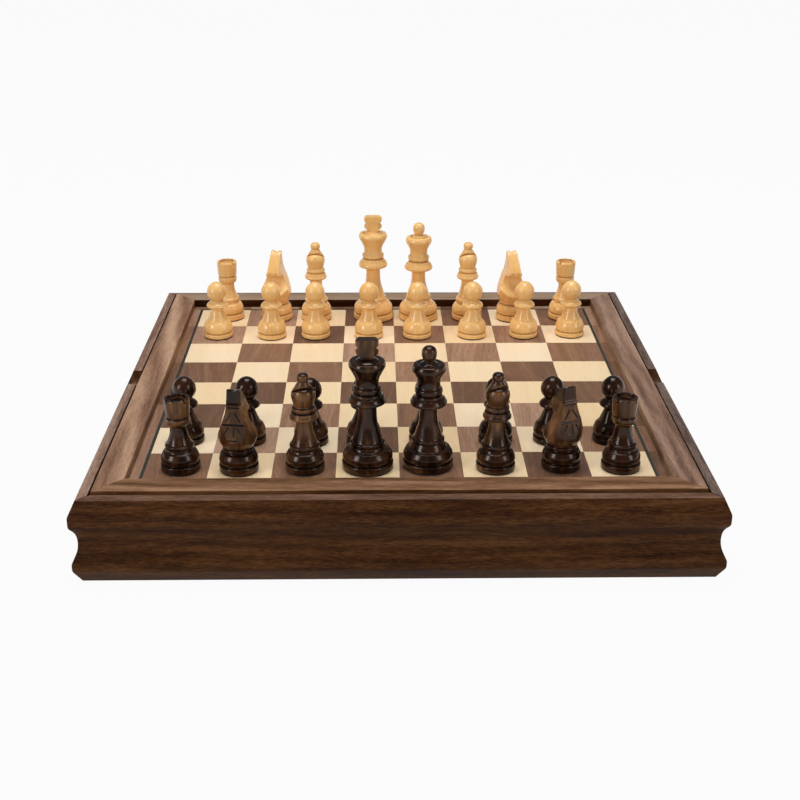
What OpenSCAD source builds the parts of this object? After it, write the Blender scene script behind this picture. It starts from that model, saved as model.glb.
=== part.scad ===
// Chess box: a framed board fixed on a shallow case, with a drawer that slides out at each side,
// and its two sides of chessmen standing on the board.
// X runs to the right, Y away from the dark player, Z up. The box stands on Z = 0, centred on X and Y.

/* [Board] */
// Side of one square
square_w = 38; // [34:0.5:45]
// Thickness of the squares, the line and the margin strips
veneer_t = 1; // [0.6:0.1:2]
// Width of the dark line round the squares
inlay_w = 2; // [1:0.5:4]
// Width of the strip between the dark line and the frame
margin_w = 5.6; // [3:0.2:12]
// Thickness of the board under the squares
core_t = 7; // [5:0.5:12]

/* [Board frame] */
// Width of the frame's top
frame_w = 16.7; // [12:0.1:24]
// How far the frame stands above the squares
frame_rise = 6; // [3:0.5:8]
// Width of the frame's lip over the edge of the core
lip_w = 5; // [3:0.5:8]
// How far the frame stands above the rim of the case
frame_proud = 2; // [0.5:0.5:3]
// Rounding of the frame's top edges
frame_round = 0.8; // [0.3:0.1:2]

/* [Case] */
// Thickness of a felt pad
pad_t = 1; // [0.6:0.1:3]
// Radius of a felt pad
pad_r = 10; // [5:0.5:15]
// Distance from the inner wall faces to a pad's centre
pad_inset = 16; // [16:1:60]
// Thickness of the base panel
base_t = 4; // [3:0.5:8]
// Depth of the rebate that holds the base panel
base_rebate = 5; // [2:0.5:7]
// Clear height between the base panel and the board
cavity_h = 36; // [33:0.5:50]
// Thickness of the partition between the drawers
partition_t = 6; // [4:0.5:12]
// Width of the seat that carries the board
seat_w = 5.3; // [3:0.1:8]
// Width of the rim's flat top on the drawer fronts
rim_w = 5.8; // [4:0.1:12]
// Gap between the board frame and the rim of the fixed walls
board_gap = 0.5; // [0.2:0.1:1]
// Gap between the board frame and the rim of the drawer fronts
drawer_gap = 1.7; // [1.2:0.1:3]

/* [Moulding] */
// How far the beads stand out from the rim
bead_out = 4.4; // [2:0.1:8]
// Height of the slope from the rim down to the upper bead
slope_h = 9.1; // [5:0.1:12]
// Height of the upper bead
bead_h = 6.5; // [4:0.1:8]
// Height of the cove between the beads
cove_h = 23.4; // [16:0.1:24]
// How far the hollow of the cove stands out from the rim
cove_out = 0.5; // [0:0.1:1.5]
// Height of the lower bead
low_bead_h = 4.5; // [3:0.1:6]
// Rounding of the beads' edges
bead_round = 1.2; // [0.4:0.1:2]

/* [Drawers] */
// Thickness of the drawer sides and back
side_t = 7; // [5:0.5:9]
// Thickness of the drawer bottom
bottom_t = 3; // [2:0.5:5]
// Depth of the rebate that holds the drawer bottom
bottom_rebate = 3; // [2:0.5:4]
// Thickness of the felt lining
felt_t = 1; // [0.6:0.1:2]
// Length of the slots for the pieces
slot_l = 92; // [85:1:110]
// Thickness of the long divider
divider_t = 5; // [3:0.5:8]
// Thickness of the dividers between slots
slot_divider_t = 4; // [2:0.5:5]
// Gap at each side of a drawer
side_clear = 0.8; // [0.4:0.1:2]
// Gap under a drawer
floor_clear = 0.5; // [0.3:0.1:1]
// Gap between a drawer's sides and the board above
head_clear = 3; // [1:0.5:5]
// Gap between a drawer's back and the partition
back_clear = 0.7; // [0.4:0.1:2]
// Gap of the mitres between a drawer front and the fixed walls
mitre_gap = 0.25; // [0.2:0.05:0.5]
// Width of a finger notch
notch_w = 25; // [18:0.5:40]
// Depth of a finger notch
notch_d = 9.5; // [5:0.5:11]

/* [Chessmen] */
// Height of a king
king_h = 82; // [70:0.5:90]
// Radius of a king's foot
king_r = 15.4; // [12:0.1:16]
// Height of a queen
queen_h = 76.7; // [66:0.1:86]
// Radius of a queen's foot
queen_r = 15.2; // [12:0.1:16]
// Height of a bishop
bishop_h = 61.3; // [52:0.1:70]
// Height of a knight
knight_h = 54; // [46:0.5:60]
// Height of a rook
rook_h = 46.2; // [38:0.1:52]
// Radius of the foot of a bishop, knight or rook
minor_r = 11.8; // [10:0.1:14]
// Height of a pawn
pawn_h = 42.6; // [36:0.2:48]
// Radius of a pawn's foot
pawn_r = 10.8; // [9:0.1:12]
// Thickness of a king's cross
cross_t = 7; // [5:0.5:9]
// Width of the cut in a bishop's mitre
mitre_cut = 1.1; // [0.6:0.1:1.6]
// Slope of the cut in a bishop's mitre, in degrees
mitre_slope = 38; // [25:1:45]
// Width of the gap between a knight's ears
ear_gap = 5; // [4:0.1:9]
// Width of the notches in a rook's top
crenel_w = 1.2; // [0.8:0.1:2]
// Depth of the notches in a rook's top
crenel_d = 1.8; // [1:0.1:2.4]

/* [Hidden] */
$fn = 72;
// The checkerboard has this many squares a side.
ranks = 8;
// The glue line between two pieces of veneer.
joint = 0.04;

half_play = ranks / 2 * square_w;
half_inlay = half_play + inlay_w;
half_lip = half_inlay + margin_w;
half_core = half_lip + lip_w;
half_frame = half_lip + frame_w;
half_wall = half_frame - seat_w;
half_rim = half_frame + drawer_gap + rim_w;
half_plan = half_rim + bead_out + 5;

base_top = pad_t + base_t;
seat_z = base_top + cavity_h;
core_top = seat_z + core_t;
play_z = core_top + veneer_t;
frame_top = play_z + frame_rise;
rim_z = frame_top - frame_proud;
wall_h = rim_z - pad_t;

drawer_z = base_top + floor_clear;
drawer_top = seat_z - head_clear;
drawer_half = half_wall - side_clear;
drawer_in = partition_t / 2 + back_clear;
bay_in = drawer_in + side_t;
bay_half = drawer_half - side_t;
felt_z = drawer_z + bottom_t;
bay_z = felt_z + felt_t;
divider_x = bay_in + slot_l;
tray_x = divider_x + divider_t;
slot_pitch = (2 * bay_half + slot_divider_t) / ranks;
notch_r = (notch_w * notch_w / 4 + notch_d * notch_d) / (2 * notch_d);

walnut = "#5d3d2b";
light_walnut = "#8a6a55";
maple = "#ecd7b4";
plywood = "#c9a878";
black_line = "#23251f";
green_felt = "#1f4a33";
boxwood = "#dbac66";
dark_stain = "#33190f";

// ---- Outlines: each corner is [across, up, softness], and a softness of 0 keeps it sharp.

function unit(v) = v / norm(v);

// The curve that replaces corner b between a and c, starting r before it and ending r after it.
function corner(a, b, c, r, steps = 4) =
    let (p = b + unit(a - b) * min(r, norm(a - b) / 2),
         q = b + unit(c - b) * min(r, norm(c - b) / 2))
    [for (i = [0 : steps]) let (t = i / steps) p * (1 - t) * (1 - t) + b * 2 * t * (1 - t) + q * t * t];

function flat(v) = [v[0], v[1]];

function softened(line) = [for (i = [0 : len(line) - 1])
    each i == 0 || i == len(line) - 1 || line[i][2] == 0
        ? [flat(line[i])]
        : corner(flat(line[i - 1]), flat(line[i]), flat(line[i + 1]), line[i][2])];

function scaled(line, across, up) = [for (p = line) [p[0] * across, p[1] * up, p[2]]];

// An outline taken to another greatest radius and another height.
function sized(line, r, h) =
    scaled(line, r / max([for (p = line) p[0]]), h / max([for (p = line) p[1]]));

// ---- Case

// Outer line of the moulding, from the rim's outer edge down to the foot.
function moulding() = softened([
    [half_rim, rim_z, 0],
    [half_rim + bead_out, rim_z - slope_h, bead_round],
    [half_rim + bead_out, rim_z - slope_h - bead_h, bead_round],
    [half_rim + cove_out, rim_z - slope_h - bead_h - cove_h / 4, cove_h / 4],
    [half_rim + cove_out, rim_z - slope_h - bead_h - cove_h * 0.68, cove_h / 5],
    [half_rim + bead_out, rim_z - slope_h - bead_h - cove_h, bead_round],
    [half_rim + bead_out, rim_z - slope_h - bead_h - cove_h - low_bead_h, bead_round],
    [half_rim, pad_t, 0]]);

// Cross-section of a fixed wall: a rebate below for the base panel and one above for the board.
function wall_section() = concat(moulding(), [
    [half_wall + base_rebate, pad_t],
    [half_wall + base_rebate, base_top],
    [half_wall, base_top],
    [half_wall, seat_z],
    [half_frame + board_gap, seat_z],
    [half_frame + board_gap, rim_z]]);

// Cross-section of a drawer front: it passes under the board's frame.
function drawer_front_section() = concat(moulding(), [
    [half_wall, pad_t],
    [half_wall, seat_z - floor_clear],
    [half_frame + drawer_gap, seat_z - floor_clear],
    [half_frame + drawer_gap, rim_z]]);

function frame_section() = softened([
    [half_core, seat_z, 0],
    [half_core, core_top, 0],
    [half_lip, core_top, 0],
    [half_lip, frame_top, frame_round],
    [half_frame, frame_top, frame_round],
    [half_frame, seat_z, 0]]);

// A length of stock along X, standing off at +Y, mitred at both ends.
module mitred(section, gap = 0) {
    intersection() {
        rotate([90, 0, 90])
            linear_extrude(2 * half_plan, center = true)
                polygon(section);
        linear_extrude(frame_top + 1)
            polygon([[0, gap], [half_plan, half_plan + gap], [-half_plan, half_plan + gap]]);
    }
}

module front_wall() {
    color(walnut) mirror([0, 1, 0]) mitred(wall_section());
}

module back_wall() {
    color(walnut) mitred(wall_section());
}

module base_panel() {
    half_y = half_wall + base_rebate;
    half_x = half_wall - floor_clear;
    color(plywood) translate([-half_x, -half_y, pad_t]) cube([2 * half_x, 2 * half_y, base_t]);
}

module centre_partition() {
    color(plywood) translate([-partition_t / 2, -half_wall, base_top])
        cube([partition_t, 2 * half_wall, cavity_h]);
}

module felt_pads() {
    reach = half_wall - pad_inset;
    color(black_line) for (x = [-reach, reach], y = [-reach, reach])
        translate([x, y, 0]) cylinder(r = pad_r, h = pad_t);
}

// ---- Board

module board_core() {
    color(plywood) translate([-half_core, -half_core, seat_z]) cube([2 * half_core, 2 * half_core, core_t]);
}

module board_frame_front() {
    color(light_walnut) mirror([0, 1, 0]) mitred(frame_section());
}

module board_frame_back() {
    color(light_walnut) mitred(frame_section());
}

module board_frame_left() {
    color(light_walnut) rotate([0, 0, 90]) mitred(frame_section());
}

module board_frame_right() {
    color(light_walnut) rotate([0, 0, -90]) mitred(frame_section());
}

// The squares of one colour: parity 0 holds each player's left-hand corner, and parity 1 the right-hand.
module squares(parity) {
    side = square_w - joint;
    for (i = [0 : ranks - 1], j = [0 : ranks - 1])
        if ((i + j) % 2 == parity)
            translate([i * square_w - half_play + joint / 2, j * square_w - half_play + joint / 2, core_top])
                cube([side, side, veneer_t]);
}

module light_squares() {
    color(maple) squares(1);
}

module dark_squares() {
    color(light_walnut) squares(0);
}

// Four strips round the board, from one half-width out to another, with mitred ends.
module strips(inner, outer) {
    for (turn = [0 : 90 : 270])
        rotate([0, 0, turn]) translate([0, 0, core_top])
            linear_extrude(veneer_t)
                polygon([[joint - inner, inner], [inner - joint, inner],
                    [outer - joint, outer], [joint - outer, outer]]);
}

module inlay_lines() {
    color(black_line) strips(half_play, half_inlay);
}

module margin_strips() {
    color(light_walnut) strips(half_inlay, half_lip);
}

// ---- Drawers: drawn for the right side, where X runs from the partition out to the drawer front.

module drawer_front() {
    color(walnut) difference() {
        rotate([0, 0, -90]) mitred(drawer_front_section(), mitre_gap * sqrt(2));
        translate([half_wall, 0, rim_z + notch_r - notch_d])
            rotate([0, 90, 0]) cylinder(r = notch_r, h = half_plan - half_wall);
    }
}

module drawer_sides() {
    color(plywood) for (flip = [0, 1])
        mirror([0, flip, 0]) difference() {
            translate([drawer_in, bay_half, drawer_z])
                cube([half_wall - drawer_in, side_t, drawer_top - drawer_z]);
            translate([drawer_in - 1, bay_half - 1, drawer_z - 1])
                cube([half_wall - drawer_in + 2, bottom_rebate + 1, bottom_t + 1]);
        }
}

module drawer_back() {
    color(plywood) translate([drawer_in, -bay_half, felt_z])
        cube([side_t, 2 * bay_half, drawer_top - felt_z]);
}

module drawer_bottom() {
    half_y = bay_half + bottom_rebate;
    color(plywood) translate([drawer_in, -half_y, drawer_z])
        cube([half_wall - drawer_in, 2 * half_y, bottom_t]);
}

module drawer_felt() {
    color(green_felt) translate([bay_in, -bay_half, felt_z])
        cube([half_wall - bay_in, 2 * bay_half, felt_t]);
}

// A long divider, one divider between each two slots for the pieces, and one between the pawn trays.
module drawer_dividers() {
    height = drawer_top - bay_z;
    color(plywood) {
        translate([divider_x, -bay_half, bay_z])
            cube([divider_t, 2 * bay_half, height]);
        for (i = [1 : ranks - 1])
            translate([bay_in, i * slot_pitch - slot_divider_t - bay_half, bay_z])
                cube([slot_l - joint, slot_divider_t, height]);
        translate([tray_x + joint, -slot_divider_t / 2, bay_z])
            cube([half_wall - tray_x - joint, slot_divider_t, height]);
    }
}

module left_drawer_front() { mirror([1, 0, 0]) drawer_front(); }
module left_drawer_sides() { mirror([1, 0, 0]) drawer_sides(); }
module left_drawer_back() { mirror([1, 0, 0]) drawer_back(); }
module left_drawer_bottom() { mirror([1, 0, 0]) drawer_bottom(); }
module left_drawer_dividers() { mirror([1, 0, 0]) drawer_dividers(); }
module left_drawer_felt() { mirror([1, 0, 0]) drawer_felt(); }
module right_drawer_front() { drawer_front(); }
module right_drawer_sides() { drawer_sides(); }
module right_drawer_back() { drawer_back(); }
module right_drawer_bottom() { drawer_bottom(); }
module right_drawer_dividers() { drawer_dividers(); }
module right_drawer_felt() { drawer_felt(); }

// ---- Chessmen: each outline is [radius, height, softness], from the middle of the foot to the top.

king_line = [
    [0, 0, 0], [15.4, 0, 0.8], [15.4, 5.1, 0.9], [13.8, 5.6, 0.2],
    [13.8, 6.1, 0.2], [15, 6.7, 0.6], [15.1, 9.9, 1.6],
    [13, 13.1, 0.6], [10.8, 13.6, 1], [10.1, 15.6, 0.5], [10.4, 16.4, 0.4], [10.4, 17.6, 0.3],
    [9.2, 18.4, 0.6], [7.6, 23.4, 4], [5.6, 30, 5], [5.4, 41.2, 0.3],
    [8.6, 41.6, 0.6], [11.1, 42.8, 0.8], [11.1, 44.6, 0.7], [9.9, 46.6, 0.5], [8.7, 47.3, 0.2],
    [8.5, 48.5, 0.5], [7.1, 49.2, 0.2], [7.1, 49.7, 0.2], [8.3, 50.2, 0.4], [8.3, 52.2, 0.6],
    [7.1, 53.2, 0.5], [6.7, 55.4, 1.5], [7.3, 58.6, 1.5], [10.7, 65, 0.4], [11, 66.8, 0.8],
    [10.2, 68.7, 0.4], [8, 68.9, 0.4], [7.4, 68.4, 0.3], [6, 69.3, 1], [4.2, 70, 0.3], [0, 70, 0]];

cross_line = [
    [0, 69.4, 0], [4.1, 69.4, 0], [3.8, 71, 0.8], [6.5, 73, 0.6], [6.8, 75, 0.6], [5.6, 76.6, 0.4],
    [5.6, 77, 0.2], [6.8, 78.2, 0.6], [6.9, 81, 0.7], [6, 82, 0.5], [0, 82, 0]];

// Plan of the cross's arms, for a thickness of 7.
cross_plan = [
    [-7.2, -0.8], [-3.5, -3.5], [3.5, -3.5], [7.2, -0.8], [7.2, 0.8], [3.5, 3.5], [-3.5, 3.5], [-7.2, 0.8]];

queen_line = [
    [0, 0, 0], [15.2, 0, 0.8], [15.2, 4.9, 0.9], [13.7, 5.4, 0.2],
    [13.7, 5.9, 0.2], [14.9, 6.4, 0.6], [15, 9.2, 1.6],
    [13.2, 12.4, 0.6], [11, 12.9, 0.8], [10, 15.6, 0.8], [9.1, 16.9, 0.3], [9.9, 17.7, 0.4],
    [9.8, 18.7, 0.3], [8.6, 19.3, 0.6], [7.2, 24, 4], [5.4, 30, 5], [5.2, 39.4, 0.3],
    [8.4, 39.6, 0.6], [10.9, 40.8, 0.8], [10.9, 42.5, 0.7], [9.6, 44.6, 0.5], [8.2, 45.3, 0.2],
    [8, 46.5, 0.5], [6.8, 47.2, 0.2], [6.8, 47.7, 0.2], [8.2, 48.2, 0.4], [8.2, 50.4, 0.6],
    [7, 51.6, 0.5], [6.6, 54, 1.5], [7.2, 57, 1.5], [10, 62, 0.4], [10.1, 63.6, 0.8],
    [9.3, 65.6, 0.5], [7.2, 66.2, 0.4], [6, 65.7, 0.3], [4.6, 66.4, 0.5], [3.1, 67.6, 0.3],
    [3.1, 68.2, 0.3], [4.45, 70, 1.6], [4.5, 74.6, 2], [2.4, 76.7, 1.4], [0, 76.7, 0]];

bishop_line = [
    [0, 0, 0], [11.8, 0, 0.8], [11.8, 4.4, 0.8], [10.4, 4.9, 0.2],
    [10.4, 5.4, 0.2], [11.5, 5.9, 0.5], [11.7, 9, 1.6],
    [10, 12.2, 0.5], [8.9, 12.7, 0.6], [8.3, 14.4, 0.4], [9, 15.3, 0.4], [8.9, 16.5, 0.3],
    [7.9, 17.2, 0.6], [6.2, 21.5, 4], [4.9, 27, 4], [4.6, 32.4, 0.3],
    [7, 32.6, 0.5], [8.5, 33.6, 0.6], [8.5, 34.9, 0.5], [7.7, 36, 0.3], [7.6, 37.2, 0.5],
    [6.2, 37.9, 0.2], [6.2, 38.4, 0.2], [7.1, 38.9, 0.4], [7, 40.6, 0.5], [5.9, 41.4, 0.3],
    [5.9, 41.9, 0.2], [6.6, 44.2, 1.5], [7.3, 47.4, 1.5], [7, 50, 1.5], [3.3, 56, 0.6],
    [3, 56.8, 0.3], [3.6, 57.6, 0.6], [3.7, 59.8, 1], [2.4, 61.3, 0.9], [0, 61.3, 0]];

rook_line = [
    [0, 0, 0], [11.8, 0, 0.8], [11.8, 4.6, 0.8], [10.3, 5.1, 0.2],
    [10.3, 5.6, 0.2], [11.4, 6.1, 0.5], [11.5, 9.2, 1.6],
    [9.8, 12.4, 0.5], [8.6, 12.9, 0.6], [8.1, 14.6, 0.4], [8.6, 15.6, 0.4], [8.5, 16.8, 0.3],
    [7.5, 17.5, 0.6], [5.8, 21.5, 4], [4.9, 25.5, 3], [4.8, 28.6, 0.4],
    [6.4, 29.8, 0.8], [7.1, 31.4, 0.6], [7.1, 33.6, 0.5], [6.2, 34.4, 0.15], [6.2, 34.9, 0.15],
    [7.1, 35.4, 0.3], [7.4, 40, 2], [7.6, 45.4, 0.5], [7.2, 46.2, 0.4], [5.4, 46.2, 0.3],
    [5.2, 43.6, 0.3], [0, 43.6, 0]];

pawn_line = [
    [0, 0, 0], [10.8, 0, 0.8], [10.8, 3.6, 0.7], [9.5, 4.1, 0.2],
    [9.5, 4.6, 0.2], [10.5, 5.1, 0.5], [10.8, 8, 2],
    [9.4, 11.8, 1.4], [7.6, 13.2, 1.5], [5.6, 18, 3], [4.6, 21, 1.5], [4.5, 22.6, 0.3],
    [7.3, 23.6, 0.5], [8, 24.6, 0.5], [7.4, 26, 0.5], [5.4, 27.7, 0.4], [4.7, 28.3, 0.2],
    [4.6, 29.5, 0.2], [7.2, 32.2, 2.6], [7.2, 38.2, 3], [3, 42.6, 3], [0, 42.6, 0]];

knight_foot_line = [
    [0, 0, 0], [11.8, 0, 0.8], [11.8, 4.6, 0.8], [10.4, 5.1, 0.2],
    [10.4, 5.6, 0.2], [11.5, 6.1, 0.5], [11.7, 9.4, 1.6],
    [10.2, 12.4, 0.5], [8.4, 12.9, 0.5], [8.2, 13.6, 0.3], [9.3, 14.3, 0.4], [9.3, 15.2, 0.4],
    [8.3, 15.9, 0.3], [8.8, 16.4, 0.2], [0, 16.4, 0]];

// Knight's head from the side, for a height of 54: the nose is on the right.
knight_side = [
    [-9.2, 16.2, 0], [-11.7, 20.8, 2.2], [-10.6, 27.5, 2], [-7.4, 43.6, 0.3], [-7.3, 44.8, 0.2],
    [-6.4, 45.2, 0.3], [-5.8, 54, 0.3], [-3.6, 53.4, 0.4], [-0.6, 51.6, 1], [6.4, 43.5, 1.5],
    [8.9, 39, 1.2], [8.8, 37.2, 0.6], [7.6, 36.4, 0.5], [3.4, 37.2, 1.2], [1.6, 34.5, 1.5],
    [2.2, 29, 3], [8.2, 24, 3], [11.6, 20.8, 2], [9.2, 16.2, 0]];

// Half of the knight's head from the front.
knight_front = [
    [0, 16.2, 0], [9.2, 16.2, 0], [11.7, 20.8, 2.2], [10.7, 25, 1.5], [8, 31, 2.5], [4.7, 40, 3.5],
    [3.8, 54, 0], [0, 54, 0]];

// The turned blank that the knight's head is carved from.
knight_blank = [
    [0, 16.2, 0], [9.2, 16.2, 0], [11.7, 20.8, 2.2], [11.7, 26, 3], [11.4, 32, 3], [10.6, 40, 3],
    [9.4, 48, 3], [8, 54, 0], [0, 54, 0]];

module turned(line, r, h) {
    rotate_extrude() polygon(softened(sized(line, r, h)));
}

// The cross is turned and milled flat at front and back, and its arms are chamfered below the cap.
module king() {
    across = king_r / 15.4;
    up = king_h / 82;
    cap_z = 77.6 * up;
    rotate_extrude() polygon(softened(scaled(king_line, across, up)));
    intersection() {
        rotate_extrude() polygon(softened(scaled(cross_line, across, up)));
        union() {
            translate([-king_r, -cross_t / 2, cap_z]) cube([2 * king_r, cross_t, king_h]);
            linear_extrude(cap_z + 0.1) polygon([for (p = cross_plan) [p[0] * across, p[1] * cross_t / 7]]);
        }
    }
}

module queen() {
    turned(queen_line, queen_r, queen_h);
}

// The cut runs down into the head from its -Y side, as far as the middle.
module bishop() {
    cut_z = 49.8 / 61.3 * bishop_h;
    difference() {
        turned(bishop_line, minor_r, bishop_h);
        translate([0, 0, cut_z]) rotate([-mitre_slope, 0, 0])
            translate([-minor_r, -2 * minor_r, -mitre_cut / 2]) cube([2 * minor_r, 2 * minor_r, mitre_cut]);
    }
}

module rook() {
    difference() {
        turned(rook_line, minor_r, rook_h);
        for (turn = [45, 135])
            rotate([0, 0, turn]) translate([-minor_r, -crenel_w / 2, rook_h - crenel_d])
                cube([2 * minor_r, crenel_w, crenel_d + 1]);
    }
}

module pawn() {
    turned(pawn_line, pawn_r, pawn_h);
}

// The head is what a side outline, a front outline and a turned blank have in common.
module knight() {
    girth = minor_r / 11.8;
    stretch = knight_h / 54;
    half_front = softened(scaled(knight_front, girth, stretch));
    turned(knight_foot_line, minor_r, 16.4 * stretch);
    difference() {
        intersection() {
            rotate([90, 0, 90]) linear_extrude(3 * minor_r, center = true)
                polygon(softened(scaled(knight_side, girth, stretch)));
            rotate([90, 0, 0]) linear_extrude(3 * minor_r, center = true) {
                polygon(half_front);
                mirror([1, 0]) polygon(half_front);
            }
            rotate_extrude() polygon(softened(scaled(knight_blank, girth, stretch)));
        }
        translate([0, 0, knight_h]) rotate([90, 0, 0])
            linear_extrude(3 * minor_r, center = true)
                polygon([[-ear_gap / 2, 0.1], [0, -ear_gap * 0.3], [ear_gap / 2, 0.1]]);
    }
}

// ---- Where the men stand: how far each stands off the middle of its square, from left to right.

dark_rank_off = [
    [2.3, -1.8], [-0.8, -3.3], [0.5, -2.5], [0, -0.5], [-1.8, 1.2], [0.6, -2.6], [2.2, -1], [-0.1, -2.8]];
dark_pawn_off = [
    [0.8, 0.5], [1.4, -0.2], [2.5, -2.2], [-2.8, -1.5], [-1.7, -1.5], [3.8, -2], [0.3, -1], [-0.2, -1]];
light_pawn_off = [
    [-0.2, -2.2], [2.4, -3.2], [-2.5, -2.9], [-0.2, -3.4], [-1.6, -3.2], [2.1, -3], [3.1, -2.4], [0.8, -0.2]];
light_rank_off = [
    [3.6, 2], [3.4, 0.1], [-3.5, -0.3], [3.1, 1.1], [0.4, 0.6], [0.7, -0.3], [-2.5, -1.6], [1.1, 0.5]];

// Puts its child on square (file, rank), counted from 0 at the near left, off its middle, and turned.
module on_square(file, rank, off, turn = 0) {
    x = (file + 0.5) * square_w - half_play + off[0];
    y = (rank + 0.5) * square_w - half_play + off[1];
    translate([x, y, play_z]) rotate([0, 0, turn]) children();
}

module light_rook_left() { color(boxwood) on_square(0, 7, light_rank_off[0], 180) rook(); }
module light_knight_left() { color(boxwood) on_square(1, 7, light_rank_off[1], 170) knight(); }
module light_bishop_left() { color(boxwood) on_square(2, 7, light_rank_off[2]) bishop(); }
module light_king() { color(boxwood) on_square(3, 7, light_rank_off[3]) king(); }
module light_queen() { color(boxwood) on_square(4, 7, light_rank_off[4]) queen(); }
module light_bishop_right() { color(boxwood) on_square(5, 7, light_rank_off[5], 10) bishop(); }
module light_knight_right() { color(boxwood) on_square(6, 7, light_rank_off[6], 190) knight(); }
module light_rook_right() { color(boxwood) on_square(7, 7, light_rank_off[7], 180) rook(); }

module light_pawns() {
    color(boxwood) for (file = [0 : ranks - 1]) on_square(file, 6, light_pawn_off[file]) pawn();
}

module dark_rook_left() { color(dark_stain) on_square(0, 0, dark_rank_off[0]) rook(); }
module dark_knight_left() { color(dark_stain) on_square(1, 0, dark_rank_off[1], -9) knight(); }
module dark_bishop_left() { color(dark_stain) on_square(2, 0, dark_rank_off[2], 12) bishop(); }
module dark_king() { color(dark_stain) on_square(3, 0, dark_rank_off[3]) king(); }
module dark_queen() { color(dark_stain) on_square(4, 0, dark_rank_off[4]) queen(); }
module dark_bishop_right() { color(dark_stain) on_square(5, 0, dark_rank_off[5], 20) bishop(); }
module dark_knight_right() { color(dark_stain) on_square(6, 0, dark_rank_off[6], 22) knight(); }
module dark_rook_right() { color(dark_stain) on_square(7, 0, dark_rank_off[7]) rook(); }

module dark_pawns() {
    color(dark_stain) for (file = [0 : ranks - 1]) on_square(file, 1, dark_pawn_off[file]) pawn();
}

front_wall();
back_wall();
base_panel();
centre_partition();
felt_pads();
board_core();
board_frame_front();
board_frame_back();
board_frame_left();
board_frame_right();
light_squares();
dark_squares();
inlay_lines();
margin_strips();
left_drawer_front();
left_drawer_sides();
left_drawer_back();
left_drawer_bottom();
left_drawer_dividers();
left_drawer_felt();
right_drawer_front();
right_drawer_sides();
right_drawer_back();
right_drawer_bottom();
right_drawer_dividers();
right_drawer_felt();
light_king();
light_queen();
light_bishop_left();
light_bishop_right();
light_knight_left();
light_knight_right();
light_rook_left();
light_rook_right();
light_pawns();
dark_king();
dark_queen();
dark_bishop_left();
dark_bishop_right();
dark_knight_left();
dark_knight_right();
dark_rook_left();
dark_rook_right();
dark_pawns();
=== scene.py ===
# %% [markdown]
# # A chess box with two drawers
#
# The real object is a shallow walnut box. A chessboard in a raised frame is its top, and the left and
# right walls are the fronts of two drawers that hold the chessmen. Here the men are set up for a game.
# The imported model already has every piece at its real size, so this file only gives the pieces their
# looks. What is plain joinery keeps its own mesh and gets a finish. What the eye rests on, the moulded
# walls, the board's frame and the chessmen, is modelled again with finer curves in the same places.

# %% Load the fixed frame
import math

import bpy
from mathutils import Matrix, Vector, geometry


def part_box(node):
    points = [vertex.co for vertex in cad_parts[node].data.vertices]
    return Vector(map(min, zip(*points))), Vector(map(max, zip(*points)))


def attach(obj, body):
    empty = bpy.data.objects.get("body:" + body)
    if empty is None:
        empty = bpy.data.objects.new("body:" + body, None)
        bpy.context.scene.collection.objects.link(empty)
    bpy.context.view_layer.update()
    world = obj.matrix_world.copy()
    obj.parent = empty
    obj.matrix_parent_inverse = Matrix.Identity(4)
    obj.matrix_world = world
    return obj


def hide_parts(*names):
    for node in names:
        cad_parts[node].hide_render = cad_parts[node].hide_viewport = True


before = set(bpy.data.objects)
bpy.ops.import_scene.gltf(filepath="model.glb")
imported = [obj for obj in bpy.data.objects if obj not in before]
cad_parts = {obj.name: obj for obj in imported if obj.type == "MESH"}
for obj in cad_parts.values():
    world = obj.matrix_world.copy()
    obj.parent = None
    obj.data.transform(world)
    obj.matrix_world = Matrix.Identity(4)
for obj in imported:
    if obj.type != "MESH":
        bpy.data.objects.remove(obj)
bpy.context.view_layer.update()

MM = 0.001

# %% [markdown]
# ## The camera
#
# A product picture of a board is taken from a little above the player's head, so that the squares
# spread out and the men still stand up against each other. A Track To constraint could aim the camera,
# but its three angles are known, and a matrix built from them is exact: it turns the camera about the
# upright, tips it down, and leans the horizon by a hair.

# %% Place the camera
CAMERA_PLACE = (-13.4 * MM, -837.1 * MM, 394.2 * MM)
CAMERA_TURN, CAMERA_TIP, CAMERA_LEAN = math.radians(1.11), math.radians(23.206), math.radians(0.234)
CAMERA_LENS = 58.55


def deselect():
    bpy.ops.object.select_all(action="DESELECT")


deselect()
bpy.ops.object.camera_add(location=CAMERA_PLACE)
camera = bpy.context.object
camera.name = "camera"
camera.data.lens = CAMERA_LENS
aim = (Matrix.Rotation(-CAMERA_TURN, 4, "Z")
       @ Matrix.Rotation(math.pi / 2 - CAMERA_TIP, 4, "X")
       @ Matrix.Rotation(CAMERA_LEAN, 4, "Z"))
camera.matrix_world = Matrix.Translation(CAMERA_PLACE) @ aim
bpy.context.scene.camera = camera
print("the camera stands", round(camera.location.length, 3), "metres from the box")

# %% [markdown]
# ## Writing a finish as sums
#
# A procedural finish is arithmetic on a point of the surface: stretch it along the grain, feed it to
# a noise, sharpen the result, mix two colours by it. Wiring that by hand hides the idea, so one small
# class wraps a socket and lets it be added and multiplied like a number. Everything that isn't plain
# arithmetic is added by one method, which takes the node's kind, its settings and its sockets.


# %% A socket that can be used in sums
def link(item, socket):
    """Feeds a socket with another socket's value, or sets it to a plain number or colour."""
    if isinstance(item, Value):
        socket.node.id_data.links.new(item.socket, socket)
    else:
        socket.default_value = item


def operator(operation):
    return lambda value, other: value.math(operation, other)


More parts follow.
